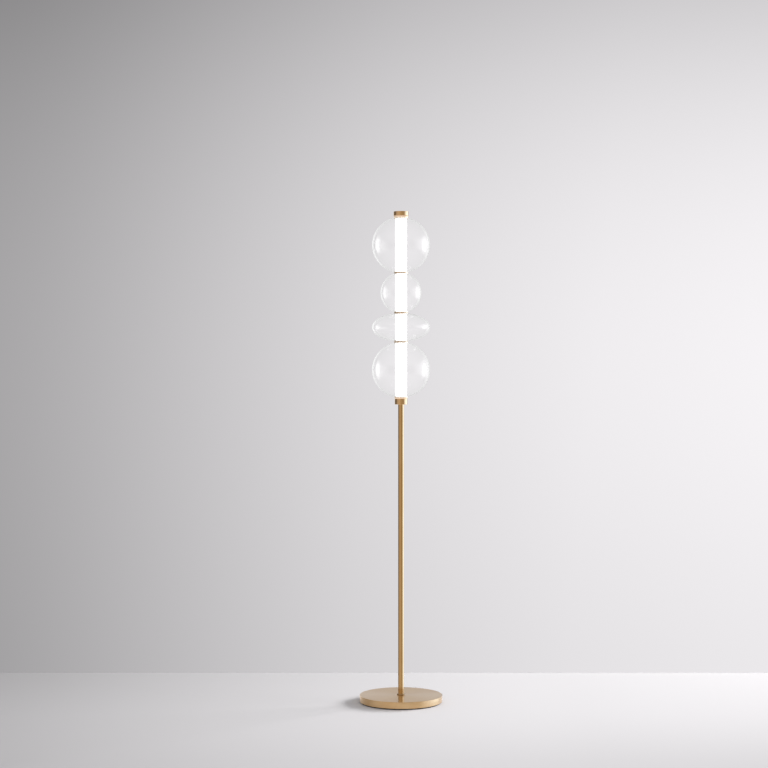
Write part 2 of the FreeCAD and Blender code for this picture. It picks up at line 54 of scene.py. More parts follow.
camera = bpy.data.objects.new("front_camera", camera_data)
camera.location = CAMERA_PLACE
camera.rotation_euler = (math.pi / 2, 0, 0)
bpy.context.scene.collection.objects.link(camera)
bpy.context.scene.camera = camera

# The base cover is spun from sheet brass: a shallow dish with softly rounded edges. It drops over the
# iron weight, and has a hole in the middle for the stem and one at the back for the cord gland.
BASE_TONES = ((0.65, 0.425, 0.20), (0.765, 0.56, 0.315))
FLAT_EDGE = 0.4
BLOCK_REACH = 1.6


def rounded_outline(corners, radii, steps=7):
    """Closed outline through the corners, each rounded by an arc tangent to its two sides.

    An arc's points are its centre plus the radius times the unit vectors that turn evenly from one
    side's normal to the other's. A point on each side keeps the flats flat: it is past the arc by
    FLAT_EDGE of the radius or a third of the free side, whichever is less. A corner with no radius
    stays one point.
    """
    corners = np.asarray(corners, float)
    radii = np.asarray(radii, float)
    ahead = np.roll(corners, -1, axis=0) - corners
    length = np.linalg.norm(ahead, axis=1)
    ahead_unit = ahead / length[:, None]
    back_unit = -np.roll(ahead_unit, 1, axis=0)
    half_angle = np.arccos(np.clip((ahead_unit * back_unit).sum(axis=1), -1, 1)) / 2
    reach = radii / np.tan(half_angle)
    free = length - reach - np.roll(reach, -1)
    after = reach + np.minimum(FLAT_EDGE * radii, free / 3)
    before = reach + np.minimum(FLAT_EDGE * radii, np.roll(free, 1) / 3)
    share = np.linspace(0, 1, steps)[:, None]
    rows = []
    for index, (corner, radius) in enumerate(zip(corners, radii)):
        if radius == 0:
            rows.append(corner[None])
            continue
        middle = back_unit[index] + ahead_unit[index]
        distance = radius / math.sin(half_angle[index])
        centre = corner + middle / np.linalg.norm(middle) * distance
        start = (corner + back_unit[index] * reach[index] - centre) / radius
        end = (corner + ahead_unit[index] * reach[index] - centre) / radius
        turn = math.pi - 2 * half_angle[index]
        arc = (np.sin((1 - share) * turn) * start + np.sin(share * turn) * end) / math.sin(turn)
        first = corner + back_unit[index] * before[index]
        last = corner + ahead_unit[index] * after[index]
        rows.append(np.vstack([first, centre + arc * radius, last]))
    return np.vstack(rows)


def spun_points(outline, turns):
    """Outline of (radius, height) rows carried round the stem's axis: x = r cos a, y = r sin a."""
    angle = np.linspace(0, 2 * math.pi, turns, endpoint=False)
    radius = outline[:, :1]
    height = np.broadcast_to(outline[:, 1:], (len(outline), turns))
    return np.stack([radius * np.cos(angle), radius * np.sin(angle), height], axis=-1)


def ring_faces(numbers):
    """Four-sided faces between rows of point numbers, each row a closed ring of as many points."""
    ahead = np.roll(numbers, -1, axis=1)
    return np.stack([numbers[:-1], ahead[:-1], ahead[1:], numbers[1:]], axis=-1).reshape(-1, 4)


def mesh_piece(name, points, faces, sharp_angle=50.0):
    """A mesh object at the origin from points and lists of faces, with unused points left out. It is
    shaded smooth except across edges that turn by more than the sharp angle."""
    points = np.asarray(points, float).reshape(-1, 3)
    used = np.unique(np.concatenate([block.ravel() for block in faces]))
    place = np.zeros(len(points), int)
    place[used] = np.arange(len(used))
    polygons = []
    for block in faces:
        polygons += place[block].tolist()
    mesh = bpy.data.meshes.new(name)
    mesh.from_pydata(points[used], [], polygons)
    mesh.shade_smooth()
    mesh.set_sharp_from_angle(angle=math.radians(sharp_angle))
    piece = bpy.data.objects.new(name, mesh)
    bpy.context.scene.collection.objects.link(piece)
    return piece


def spun_numbers(rows, turns):
    """Point numbers of a spun grid whose last row joins its first."""
    numbers = np.arange(rows * turns).reshape(rows, turns)
    return np.vstack([numbers, numbers[:1]])


def spun_piece(name, outline, turns=192):
    """A turned piece: a closed outline carried round the stem's axis and joined to itself."""
    outline = np.asarray(outline, float)
    return mesh_piece(name, spun_points(outline, turns), [ring_faces(spun_numbers(len(outline), turns))])


def block_edge(rows, columns, turns):
    """Point numbers round a block of a spun grid, anticlockwise as seen from outside."""
    return np.concatenate(
        [
            rows[0] * turns + columns[:-1],
            rows[:-1] * turns + columns[-1],
            rows[-1] * turns + columns[:0:-1],
            rows[:0:-1] * turns + columns[0],
        ]
    )


def pierced_piece(name, corners, radii, turns, hole_height, hole_radius, blocks, rings=4):
    """A turned piece with a round hole at the back, along Y, through the wall between its first and
    second corners' sides.

    A block of the grid, so many columns each way and so many rows, is left out of the outer and of the
    inner wall. It reaches BLOCK_REACH hole radii up and down. Rings blend straight from each block's
    edge to the hole's circle, and stay on the wall: y is the root of the wall's radius squared less x
    squared. One tube joins the two circles.
    """
    outline = rounded_outline(corners, radii)
    first = 2 * len(outline) // len(corners)
    reach = BLOCK_REACH * hole_radius
    outer_heights, inner_heights = (
        np.linspace(hole_height - reach, hole_height + reach, rows + 1) for columns, rows in blocks
    )
    outer_wall = np.column_stack([np.full(len(outer_heights), corners[1][0]), outer_heights])
    inner_wall = np.column_stack([np.full(len(inner_heights), corners[0][0]), inner_heights[::-1]])
    outline = np.vstack([outline[:first], outer_wall, outline[first:], inner_wall])
    points = spun_points(outline, turns).reshape(-1, 3)
    outer_rows = first + np.arange(len(outer_wall))
    inner_rows = len(outline) - 1 - np.arange(len(inner_wall))
    kept = np.ones((len(outline), turns), bool)
    numbers = []
    wall_radii = (corners[1][0], corners[0][0])
    half_widths = [columns for columns, rows in blocks]
    for rows, radius, columns in zip((outer_rows, inner_rows), wall_radii, half_widths):
        span = turns // 4 + np.arange(-columns, columns + 1)
        kept[rows.min():rows.max(), span[0]:span[-1]] = False
        edge = block_edge(rows, span, turns)
        edge_flat = points[edge][:, [0, 2]]
        if not numbers:
            spoke = edge_flat - [0, hole_height]
            spoke_length = np.linalg.norm(spoke, axis=1, keepdims=True)
            circle = [0, hole_height] + hole_radius * spoke / spoke_length
        share = np.linspace(0, 1, rings + 1)[1:, None, None]
        flat = (1 - share) * edge_flat + share * circle
        depth = np.sqrt(radius**2 - flat[..., 0] ** 2)
        patch = np.stack([flat[..., 0], depth, flat[..., 1]], axis=-1)
        fresh = len(points) + np.arange(rings * len(edge)).reshape(rings, len(edge))
        numbers.append(np.vstack([edge, fresh]))
        points = np.vstack([points, patch.reshape(-1, 3)])
    walls = ring_faces(spun_numbers(len(outline), turns))[kept.ravel()]
    bore = ring_faces(np.vstack([numbers[0], numbers[1][::-1]]))
    return mesh_piece(name, points, [walls, bore])


cover_low, cover_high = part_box("base_cover")
stem_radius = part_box("stem_tube")[1].x
cover_radius = cover_high.x
cover_wall = 0.002
cover_slip = 0.0003
cover_hole = stem_radius + cover_slip
cover_under = cover_high.z - cover_wall
cover_corners = [
    (cover_radius - cover_wall, cover_low.z),
    (cover_radius, cover_low.z),
    (cover_radius, cover_high.z),
    (cover_hole, cover_high.z),
    (cover_hole, cover_under),
    (cover_radius - cover_wall, cover_under),
]
cover_radii = [0.0003, 0.0006, 0.0012, 0.0003, 0.0003, 0.0008]
gland_low, gland_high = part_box("cord_gland")
gland_flange_width = 0.0015
gland_slip = 0.00005
gland_hole = gland_high.x - gland_flange_width + gland_slip
gland_height = (gland_low.z + gland_high.z) / 2
gland_blocks = ((4, 8), (4, 8))
COVER_TURNS = 384
base_cover = pierced_piece(
    "spun_base_cover", cover_corners, cover_radii, COVER_TURNS, gland_height, gland_hole, gland_blocks
)
NODE_WIDTH = 220
NODE_HEIGHT = 200


def node_line(tree, kind, place, **values):
    """Add a node of this kind at a column and row, and set its input sockets by name."""
    node = tree.nodes.new(kind)
    node.location = (place[0] * NODE_WIDTH, -place[1] * NODE_HEIGHT)
    for key, value in values.items():
        node.inputs[key.replace("_", " ")].default_value = value
    return node


def value_group(name, inputs, outputs):
    """An empty shader group with float inputs and the named outputs."""
    group = bpy.data.node_groups.new(name, "ShaderNodeTree")
    for title, value in inputs:
        socket = group.interface.new_socket(title, in_out="INPUT", socket_type="NodeSocketFloat")
        socket.default_value = value
    for title, kind in outputs:
        group.interface.new_socket(title, in_out="OUTPUT", socket_type=kind)
    entry = node_line(group, "NodeGroupInput", (-4, 0))
    leave = node_line(group, "NodeGroupOutput", (6, 0))
    return group, entry, leave


ROUND_SQUEEZE = 0.004


def turned_grain_group():
    """Fine lines left by a lathe: noise that changes fast along the radius and the height, and slowly
    round the axis. Streak runs from 0 to 1; Cloud is a broad uneven tone of the same range."""
    group, entry, leave = value_group(
        "turned_grain",
        [("Lines per metre", 9000.0), ("Cloud per metre", 14.0)],
        [("Streak", "NodeSocketFloat"), ("Cloud", "NodeSocketFloat")],
    )
    link = group.links.new
    coords = node_line(group, "ShaderNodeTexCoord", (-4, 1))
    split = node_line(group, "ShaderNodeSeparateXYZ", (-3, 1))
    link(coords.outputs["Object"], split.inputs[0])
    flat = node_line(group, "ShaderNodeCombineXYZ", (-2, 2))
    link(split.outputs["X"], flat.inputs["X"])
    link(split.outputs["Y"], flat.inputs["Y"])
    radius = node_line(group, "ShaderNodeVectorMath", (-1, 2))
    radius.operation = "LENGTH"
    link(flat.outputs[0], radius.inputs[0])
    slow = node_line(group, "ShaderNodeVectorMath", (-1, 3))
    slow.operation = "SCALE"
    slow.inputs["Scale"].default_value = ROUND_SQUEEZE
    link(flat.outputs[0], slow.inputs[0])
    slow_parts = node_line(group, "ShaderNodeSeparateXYZ", (0, 3))
    link(slow.outputs[0], slow_parts.inputs[0])
    across = node_line(group, "ShaderNodeMath", (0, 2))
    across.operation = "ADD"
    link(radius.outputs["Value"], across.inputs[0])
    link(slow_parts.outputs["X"], across.inputs[1])
    along = node_line(group, "ShaderNodeMath", (1, 3))
    along.operation = "ADD"
    link(split.outputs["Z"], along.inputs[0])
    link(slow_parts.outputs["Y"], along.inputs[1])
    line_place = node_line(group, "ShaderNodeCombineXYZ", (2, 2))
    link(across.outputs[0], line_place.inputs["X"])
    link(along.outputs[0], line_place.inputs["Y"])
    lines = node_line(group, "ShaderNodeTexNoise", (3, 2), Detail=3.0, Roughness=0.65)
    link(line_place.outputs[0], lines.inputs["Vector"])
    link(entry.outputs["Lines per metre"], lines.inputs["Scale"])
    cloud = node_line(group, "ShaderNodeTexNoise", (3, 0), Detail=4.0, Roughness=0.55)
    link(coords.outputs["Object"], cloud.inputs["Vector"])
    link(entry.outputs["Cloud per metre"], cloud.inputs["Scale"])
    link(lines.outputs["Fac"], leave.inputs["Streak"])
    link(cloud.outputs["Fac"], leave.inputs["Cloud"])
    return group


turned_grain = turned_grain_group()


def principled(name):
    """A new material, its node tree and its Principled shader."""
    material = bpy.data.materials.new(name)
    material.use_nodes = True
    tree = material.node_tree
    shader = tree.nodes["Principled BSDF"]
    return material, tree, shader


def tone_ramp(tree, place, low, high, colours):
    """A colour ramp between two stops of a 0 to 1 value."""
    ramp = node_line(tree, "ShaderNodeValToRGB", place)
    ramp.color_ramp.elements[0].position = low
    ramp.color_ramp.elements[1].position = high
    ramp.color_ramp.elements[0].color = (*colours[0], 1)
    ramp.color_ramp.elements[1].color = (*colours[1], 1)
    return ramp


def value_range(tree, place, low, high):
    """A 0 to 1 value spread between two others."""
    spread = node_line(tree, "ShaderNodeMapRange", place)
    spread.inputs["To Min"].default_value = low
    spread.inputs["To Max"].default_value = high
    return spread


CLOUD_STOPS = (0.3, 0.7)
STREAK_STOPS = (0.25, 0.75)
STREAK_SHARE = 0.45
QUARTER_TURN = 0.25


def brass_finish(name, colours, grain, lines_per_metre, roughness, spread, line_depth, stretch):
    """Lacquered satin brass: tone and gloss vary with the grain, fine lines break the highlight, and
    the highlight is stretched across the lines, which run round the axis."""
    material, tree, shader = principled(name)
    link = tree.links.new
    lines = node_line(tree, "ShaderNodeGroup", (-5, 0))
    lines.node_tree = grain
    lines.inputs["Lines per metre"].default_value = lines_per_metre
    tones = tone_ramp(tree, (-3, 0), *CLOUD_STOPS, colours)
    link(lines.outputs["Cloud"], tones.inputs["Fac"])
    streaks = tone_ramp(tree, (-3, 1.3), *STREAK_STOPS, colours)
    link(lines.outputs["Streak"], streaks.inputs["Fac"])
    blend = node_line(tree, "ShaderNodeMix", (-1.6, 0.4))
    blend.data_type = "RGBA"
    blend.inputs["Factor"].default_value = STREAK_SHARE
    link(tones.outputs["Color"], blend.inputs["A"])
    link(streaks.outputs["Color"], blend.inputs["B"])
    link(blend.outputs["Result"], shader.inputs["Base Color"])
    gloss = value_range(tree, (-1.6, 2), roughness - spread, roughness + spread)
    link(lines.outputs["Streak"], gloss.inputs["Value"])
    link(gloss.outputs["Result"], shader.inputs["Roughness"])
    bump = node_line(tree, "ShaderNodeBump", (-1.6, 3.2), Strength=0.5, Distance=line_depth)
    link(lines.outputs["Streak"], bump.inputs["Height"])
    link(bump.outputs["Normal"], shader.inputs["Normal"])
    around = node_line(tree, "ShaderNodeTangent", (-1.6, 4.4))
    around.direction_type = "RADIAL"
    around.axis = "Z"
    link(around.outputs["Tangent"], shader.inputs["Tangent"])
    shader.inputs["Anisotropic"].default_value = stretch
    shader.inputs["Anisotropic Rotation"].default_value = QUARTER_TURN
    shader.inputs["Metallic"].default_value = 1.0
    shader.inputs["Coat Roughness"].default_value = 0.12
    shader.inputs["Coat Weight"].default_value = 0.5
    return material


spun_brass = brass_finish(
    "spun_brass",
    BASE_TONES,
    turned_grain,
    lines_per_metre=6000.0,
    roughness=0.3,
    spread=0.06,
    line_depth=0.000004,
    stretch=0.7,
)


def dress(piece, material, slot, body, *nodes):
    """Give a new piece its material, hide the CAD nodes it replaces and hang it on the body it rides
    on. The slot is not used.
    """
    piece.data.materials.clear()
    piece.data.materials.append(material)
    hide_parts(*nodes)
    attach(piece, body)


dress(base_cover, spun_brass, "satin_brass", "frame", "base_cover")

# The pad is a black rubber disc glued under the base. It is set in from the rim, so a thin dark gap
# shows all round and the base seems to float.
pad_low, pad_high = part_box("base_pad")
pad_inset = 0.002
pad_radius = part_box("base_bottom_plate")[1].x - pad_inset
pad_corners = [(0, pad_low.z), (pad_radius, pad_low.z), (pad_radius, pad_high.z), (0, pad_high.z)]
pad_radii = [0, 0.0008, 0.0003, 0]


def disc_piece(name, corners, radii, turns=192):
    """A turned disc with no hole: an outline that starts and ends on the axis is carried round it, and
    a fan of triangles closes each end."""
    outline = rounded_outline(corners, radii)
    points = spun_points(outline[1:-1], turns).reshape(-1, 3)
    numbers = np.arange(len(points)).reshape(-1, turns)
    poles = [[0, 0, outline[0, 1]], [0, 0, outline[-1, 1]]]
    pole_numbers = np.full((2, turns), len(points)) + [[0], [1]]
    first = np.column_stack([pole_numbers[0], np.roll(numbers[0], -1), numbers[0]])
    last = np.column_stack([numbers[-1], np.roll(numbers[-1], -1), pole_numbers[1]])
    return mesh_piece(name, np.vstack([points, poles]), [ring_faces(numbers), first, last])


base_pad = disc_piece("rubber_base_pad", pad_corners, pad_radii)


def speckle_group():
    """Fine speckle of moulded or cast surfaces, and a broad cloud of the same 0 to 1 range."""
    group, entry, leave = value_group(
        "moulded_speckle",
        [("Specks per metre", 2500.0), ("Cloud per metre", 20.0)],
        [("Speck", "NodeSocketFloat"), ("Cloud", "NodeSocketFloat")],
    )
    link = group.links.new
    coords = node_line(group, "ShaderNodeTexCoord", (-2, 1))
    for row, (title, scale) in enumerate([("Speck", "Specks per metre"), ("Cloud", "Cloud per metre")]):
        noise = node_line(group, "ShaderNodeTexNoise", (1, row * 2), Detail=3.0, Roughness=0.6)
        link(coords.outputs["Object"], noise.inputs["Vector"])
        link(entry.outputs[scale], noise.inputs["Scale"])
        link(noise.outputs["Fac"], leave.inputs[title])
    return group


moulded_speckle = speckle_group()


def speckled_finish(name, colours, specks_per_metre, roughness, speck_depth, metallic=0.0):
    """A moulded, cast or plated surface: tone from the cloud, gloss and relief from the specks."""
    material, tree, shader = principled(name)
    link = tree.links.new
    specks = node_line(tree, "ShaderNodeGroup", (-5, 0))
    specks.node_tree = moulded_speckle
    specks.inputs["Specks per metre"].default_value = specks_per_metre
    tones = tone_ramp(tree, (-3, 0), *CLOUD_STOPS, colours)
    link(specks.outputs["Cloud"], tones.inputs["Fac"])
    link(tones.outputs["Color"], shader.inputs["Base Color"])
    gloss = value_range(tree, (-3, 1.5), *roughness)
    link(specks.outputs["Speck"], gloss.inputs["Value"])
    link(gloss.outputs["Result"], shader.inputs["Roughness"])
    bump = node_line(tree, "ShaderNodeBump", (-3, 3), Strength=0.6, Distance=speck_depth)
    link(specks.outputs["Speck"], bump.inputs["Height"])
    link(bump.outputs["Normal"], shader.inputs["Normal"])
    shader.inputs["Metallic"].default_value = metallic
    return material


black_rubber = speckled_finish(
    "black_rubber",
    ((0.018, 0.018, 0.019), (0.032, 0.032, 0.034)),
    specks_per_metre=2500.0,
    roughness=(0.6, 0.8),
    speck_depth=0.00008,
)
dress(base_pad, black_rubber, "black_rubber", "frame", "base_pad")


def finish_nodes(material, *names):
    """Give carried-over CAD pieces their finish."""
    for name in names:
        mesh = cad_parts[name].data
        mesh.materials.clear()
        mesh.materials.append(material)


# The cord gland is a moulded rubber bush. It is pushed through the back of the cover from inside, and
# keeps the edge of the brass off the cord.
finish_nodes(black_rubber, "cord_gland")

# The weight is a grey iron casting in black primer, rough from the sand mould. It lies under the
# cover, and the stem's flange is screwed to it from below.
cast_iron = speckled_finish(
    "cast_iron",
    ((0.05, 0.05, 0.052), (0.09, 0.09, 0.095)),
    specks_per_metre=900.0,
    roughness=(0.55, 0.85),
    speck_depth=0.0003,
    metallic=0.4,
)
finish_nodes(cast_iron, "base_weight")

# The bottom plate, the stem's flange, the tie rod with its nut and washer, the screws and the spring
# ring in the end cap are bright zinc-plated steel.
zinc_steel = speckled_finish(
    "zinc_steel",
    ((0.52, 0.54, 0.56), (0.66, 0.66, 0.64)),
    specks_per_metre=1200.0,
    roughness=(0.25, 0.42),
    speck_depth=0.00002,
    metallic=1.0,
)
finish_nodes(
    zinc_steel,
    "base_bottom_plate",
    "base_plate_screws",
    "driver_screws",
    "foot_flange",
    "flange_screws",
    "stem_lock_screw",
    "tie_rod",
    "core_washer",
    "core_nut",
    "collar_clip",
)

# The driver's case, the core's foot and its upper spider are moulded in white nylon. The case is
# screwed down by its ears, and the other two centre the core in the light tube.
white_nylon = speckled_finish(
    "white_nylon",
    ((0.78, 0.78, 0.75), (0.86, 0.86, 0.84)),
    specks_per_metre=3000.0,
    roughness=(0.45, 0.6),
    speck_depth=0.00003,
)
finish_nodes(white_nylon, "led_driver", "core_foot", "core_guide")

# The low voltage lead has a grey silicone sheath. It runs from the driver in the base up inside the
# stem to the feed board.
lead_sheath = speckled_finish(
    "lead_sheath",
    ((0.62, 0.62, 0.61), (0.74, 0.74, 0.73)),
    specks_per_metre=4000.0,
    roughness=(0.4, 0.55),
    speck_depth=0.00002,
)
finish_nodes(lead_sheath, "led_lead")

# The stem is a drawn brass tube, brushed along its length, that carries the light column. Only its
# lower and upper ends are hidden, in the flange and in the holder.
stem_low, stem_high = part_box("stem_tube")
stem_wall = 0.0015
stem_corners = [
    (stem_radius - stem_wall, stem_low.z),
    (stem_radius, stem_low.z),
    (stem_radius, stem_high.z),
    (stem_radius - stem_wall, stem_high.z),
]
STEM_TONES = ((0.63, 0.40, 0.165), (0.74, 0.52, 0.26))
TUBE_TURNS = 128
TUBE_ARC_STEPS = 4
tube_edges = [0.0003] * 4
stem_outline = rounded_outline(stem_corners, tube_edges, TUBE_ARC_STEPS)
stem_tube = spun_piece("drawn_stem_tube", stem_outline, TUBE_TURNS)
LENGTH_SQUEEZE = 0.006


def drawn_grain_group():
    """Fine lines along a drawn tube: noise that changes fast round the axis and slowly along it."""
    group, entry, leave = value_group(
        "drawn_grain",
        [("Lines per metre", 5000.0), ("Cloud per metre", 10.0)],
        [("Streak", "NodeSocketFloat"), ("Cloud", "NodeSocketFloat")],
    )
    link = group.links.new
    coords = node_line(group, "ShaderNodeTexCoord", (-3, 1))
    squeeze = node_line(group, "ShaderNodeMapping", (-2, 1))
    squeeze.inputs["Scale"].default_value = (1.0, 1.0, LENGTH_SQUEEZE)
    link(coords.outputs["Object"], squeeze.inputs["Vector"])
    lines = node_line(group, "ShaderNodeTexNoise", (1, 1), Detail=3.0, Roughness=0.6)
    link(squeeze.outputs[0], lines.inputs["Vector"])
    link(entry.outputs["Lines per metre"], lines.inputs["Scale"])
    cloud = node_line(group, "ShaderNodeTexNoise", (1, -1), Detail=4.0, Roughness=0.55)
    link(coords.outputs["Object"], cloud.inputs["Vector"])
    link(entry.outputs["Cloud per metre"], cloud.inputs["Scale"])
    link(lines.outputs["Fac"], leave.inputs["Streak"])
    link(cloud.outputs["Fac"], leave.inputs["Cloud"])
    return group


drawn_grain = drawn_grain_group()
drawn_brass = brass_finish(
    "drawn_brass",
    STEM_TONES,
    drawn_grain,
    lines_per_metre=5000.0,
    roughness=0.15,
    spread=0.02,
    line_depth=0.000001,
    stretch=0.4,
)
dress(stem_tube, drawn_brass, "satin_brass", "frame", "stem_tube")

# The foot collar is a small turned brass ring with a rounded shoulder, slid down the stem to hide
# the hole in the cover.
collar_low, collar_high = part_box("foot_collar")
stem_slip = 0.0001
stem_bore = stem_radius + stem_slip
foot_corners = [
    (stem_bore, collar_low.z),
    (collar_high.x, collar_low.z),
    (collar_high.x, collar_high.z),
    (stem_bore, collar_high.z),
]
foot_radii = [0.0002, 0.0003, 0.002, 0.0003]
# Its brass is darker than the other turned brass: painted shade for the stem's foot, low against the
# base.
FOOT_SHADED_TONES = ((0.40, 0.26, 0.12), (0.50, 0.35, 0.19))
foot_outline = rounded_outline(foot_corners, foot_radii)
foot_collar = spun_piece("turned_foot_collar", foot_outline, TUBE_TURNS)
foot_brass = brass_finish(
    "foot_brass",
    FOOT_SHADED_TONES,
    turned_grain,
    lines_per_metre=9000.0,
    roughness=0.08,
    spread=0.02,
    line_depth=0.000001,
    stretch=0.2,
)
dress(foot_collar, foot_brass, "satin_brass", "frame", "foot_collar")

# The holder is turned from brass bar: a socket for the stem below, a seat for the diffuser above,
# and a tapped hole at the back for the grub screw that locks it.
holder_low, holder_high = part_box("lower_cap")
tube_low, tube_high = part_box("diffuser_tube")
diffuser_radius = tube_high.x
seat_slip = 0.0002
seat_radius = diffuser_radius + seat_slip
rod_hole = 0.0031
holder_corners = [
    (stem_bore, holder_low.z),
    (holder_high.x, holder_low.z),
    (holder_high.x, holder_high.z),
    (seat_radius, holder_high.z),
    (seat_radius, tube_low.z),
    (rod_hole, tube_low.z),
    (rod_hole, stem_high.z),
    (stem_bore, stem_high.z),
]
holder_radii = [0.0003, 0.0008, 0.0003, 0.0002, 0.0002, 0.0002, 0.0002, 0.0002]
screw_low, screw_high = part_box("stem_lock_screw")
screw_slip = 0.00005
screw_hole = screw_high.x + screw_slip
screw_height = (screw_low.z + screw_high.z) / 2
screw_blocks = ((5, 18), (10, 8))
HOLDER_TURNS = 192
lower_cap = pierced_piece(
    "turned_lower_cap",
    holder_corners,
    holder_radii,
    HOLDER_TURNS,
    screw_height,
    screw_hole,
    screw_blocks,
)
BRASS_TONES = ((0.72, 0.465, 0.215), (0.85, 0.61, 0.34))
TURNED_GRAIN = {
    "lines_per_metre": 9000.0,
    "roughness": 0.2,
    "spread": 0.04,
    "line_depth": 0.000003,
    "stretch": 0.5,
}
turned_brass = brass_finish("turned_brass", BRASS_TONES, turned_grain, **TURNED_GRAIN)
dress(lower_cap, turned_brass, "satin_brass", "frame", "lower_cap")

# The collar on the holder is a turned brass ring, a little wider than it, that carries the lowest
# globe. Like the collar at the top, it has a faint painted glow, an emission in its brass that stands
# in for the light that spills from the tube's end.
tube_clearance = 0.0004
ring_bore = diffuser_radius + tube_clearance
collar_radii = [0.0003, 0.0025, 0.0025, 0.0003]


def turned_ring(name, node, radii):
    """A turned ring with the outside of its CAD node, bored to pass the light tube."""
    low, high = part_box(node)
    corners = [(ring_bore, low.z), (high.x, low.z), (high.x, high.z), (ring_bore, high.z)]
    return spun_piece(name, rounded_outline(corners, radii))


lower_collar = turned_ring("turned_lower_collar", "lower_collar", collar_radii)
# A painted glow: the collars' brass gives off a faint light of its own, for the tube's light on them.
painted_glow_brass = brass_finish("painted_glow_brass", BRASS_TONES, turned_grain, **TURNED_GRAIN)
painted_glow_shader = painted_glow_brass.node_tree.nodes["Principled BSDF"]
painted_glow_shader.inputs["Emission Color"].default_value = (1.0, 0.94, 0.9, 1)
painted_glow_shader.inputs["Emission Strength"].default_value = 0.28
dress(lower_collar, painted_glow_brass, "satin_brass", "frame", "lower_collar")

# The core is a six-sided aluminium extrusion, clear anodised. A nut clamps it on the tie rod inside
# the light tube, and it takes up the heat of the strips.
core_aluminium = speckled_finish(
    "core_aluminium",
    ((0.76, 0.77, 0.78), (0.84, 0.85, 0.86)),
    specks_per_metre=1500.0,
    roughness=(0.3, 0.45),
    speck_depth=0.00002,
    metallic=1.0,
)
finish_nodes(core_aluminium, "led_core")

# The feed board and the strips are fibreglass boards under white solder mask. The six strips are
# stuck to the sides of the core.
circuit_board = speckled_finish(
    "circuit_board",
    ((0.82, 0.82, 0.78), (0.9, 0.9, 0.87)),
    specks_per_metre=2000.0,
    roughness=(0.35, 0.5),
    speck_depth=0.00002,
)
finish_nodes(circuit_board, "feed_board", "led_strips")

# The diffuser is an extruded opal acrylic tube. Lit from inside, it glows white along its length and
# falls off a little at its ends, where the strips stop short of the caps.
tube_wall = 0.002
tube_corners = [
    (diffuser_radius - tube_wall, tube_low.z),
    (diffuser_radius, tube_low.z),
    (diffuser_radius, tube_high.z),
    (diffuser_radius - tube_wall, tube_high.z),
]
tube_outline = rounded_outline(tube_corners, tube_edges, TUBE_ARC_STEPS)
diffuser_tube = spun_piece("opal_diffuser_tube", tube_outline, TUBE_TURNS)
GLOW_TONES = ((0.55, 0.47, 0.36), (1.0, 0.975, 0.935))


def smooth_rise(tree, place, source, start, end):
    """A value that rises smoothly from 0 to 1 as the source goes from the start to the end."""
    rise = node_line(tree, "ShaderNodeMapRange", place)
    rise.interpolation_type = "SMOOTHSTEP"
    rise.inputs["From Min"].default_value = start
    rise.inputs["From Max"].default_value = end
    tree.links.new(source, rise.inputs["Value"])
    return rise.outputs["Result"]


def product(tree, place, first, second):
    """Two values multiplied."""
    times = node_line(tree, "ShaderNodeMath", place)
    times.operation = "MULTIPLY"
    tree.links.new(first, times.inputs[0])
    tree.links.new(second, times.inputs[1])
    return times.outputs[0]


def opal_finish():
    """Glossy opal acrylic that emits a warm white, dimmed over a short stretch at either end."""
    material, tree, shader = principled("opal_diffuser")
    link = tree.links.new
    coords = node_line(tree, "ShaderNodeTexCoord", (-6, 0))
    split = node_line(tree, "ShaderNodeSeparateXYZ", (-5, 0))
    link(coords.outputs["Object"], split.inputs[0])
    height = split.outputs["Z"]
    dark_end = 0.004
    fade = 0.014
    low_start = tube_low.z + dark_end
    high_start = tube_high.z - dark_end
    low_end = smooth_rise(tree, (-4, 0), height, low_start, low_start + fade)
    high_end = smooth_rise(tree, (-4, 1.4), height, high_start, high_start - fade)
    lit = product(tree, (-3, 0.6), low_end, high_end)
    glow = tone_ramp(tree, (-2, 0.6), 0.0, 1.0, GLOW_TONES)
    link(lit, glow.inputs["Fac"])
    link(glow.outputs["Color"], shader.inputs["Emission Color"])
    shader.inputs["Emission Strength"].default_value = 1.8
    shader.inputs["Base Color"].default_value = (0.9, 0.9, 0.88, 1)
    shader.inputs["Roughness"].default_value = 0.3
    return material


dress(diffuser_tube, opal_finish(), "opal_diffuser", "frame", "diffuser_tube")

# The globes are blown from clear glass, ground flat and bored through at both poles. Each is held
# between two gaskets, and its wall is even and a little over two millimetres thick.
GLASS_WALL = 0.0022
MOUTH_STEP = 0.0017
LAND_WIDTH = 0.002
MOUTH_RADIUS = ring_bore + MOUTH_STEP
LAND_RADIUS = MOUTH_RADIUS + LAND_WIDTH
# A faint painted glow in the glass stands in for the tube's light in it: its tones, bright where the
# glass faces the view and dimmer towards the edges.
PAINTED_GLOW_END = 0.6
PAINTED_GLOW_TONES = ((1.0, 0.985, 1.0), (0.3, 0.295, 0.3))


def blown_globe(name, node, turns=224, rows=120):
    """A shell between two upright ellipses with the same centre.

    A point of an ellipse is (radius cos u, pole sin u), with u from one opening to the other; the
    outer one passes through the land's edge, and the inner one is a wall's thickness smaller.
    """
    low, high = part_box(node)
    middle = (low.z + high.z) / 2
    rim = (high.z - low.z) / 2
    radius = high.x
    pole = rim / math.sqrt(1 - (LAND_RADIUS / radius) ** 2)
    outer_end = math.asin(rim / pole)
    inner_end = math.acos(MOUTH_RADIUS / (radius - GLASS_WALL))
    outer_turn = np.linspace(-outer_end, outer_end, rows)
    inner_turn = np.linspace(inner_end, -inner_end, rows)
    outer = np.column_stack([radius * np.cos(outer_turn), pole * np.sin(outer_turn)])
    inner = np.column_stack(
        [(radius - GLASS_WALL) * np.cos(inner_turn), (pole - GLASS_WALL) * np.sin(inner_turn)]
    )
    lip = np.array([[MOUTH_RADIUS, rim]])
    outline = np.vstack([outer, lip, inner, lip * [1, -1]])
    outline[:, 1] += middle
    return spun_piece(name, outline, turns)


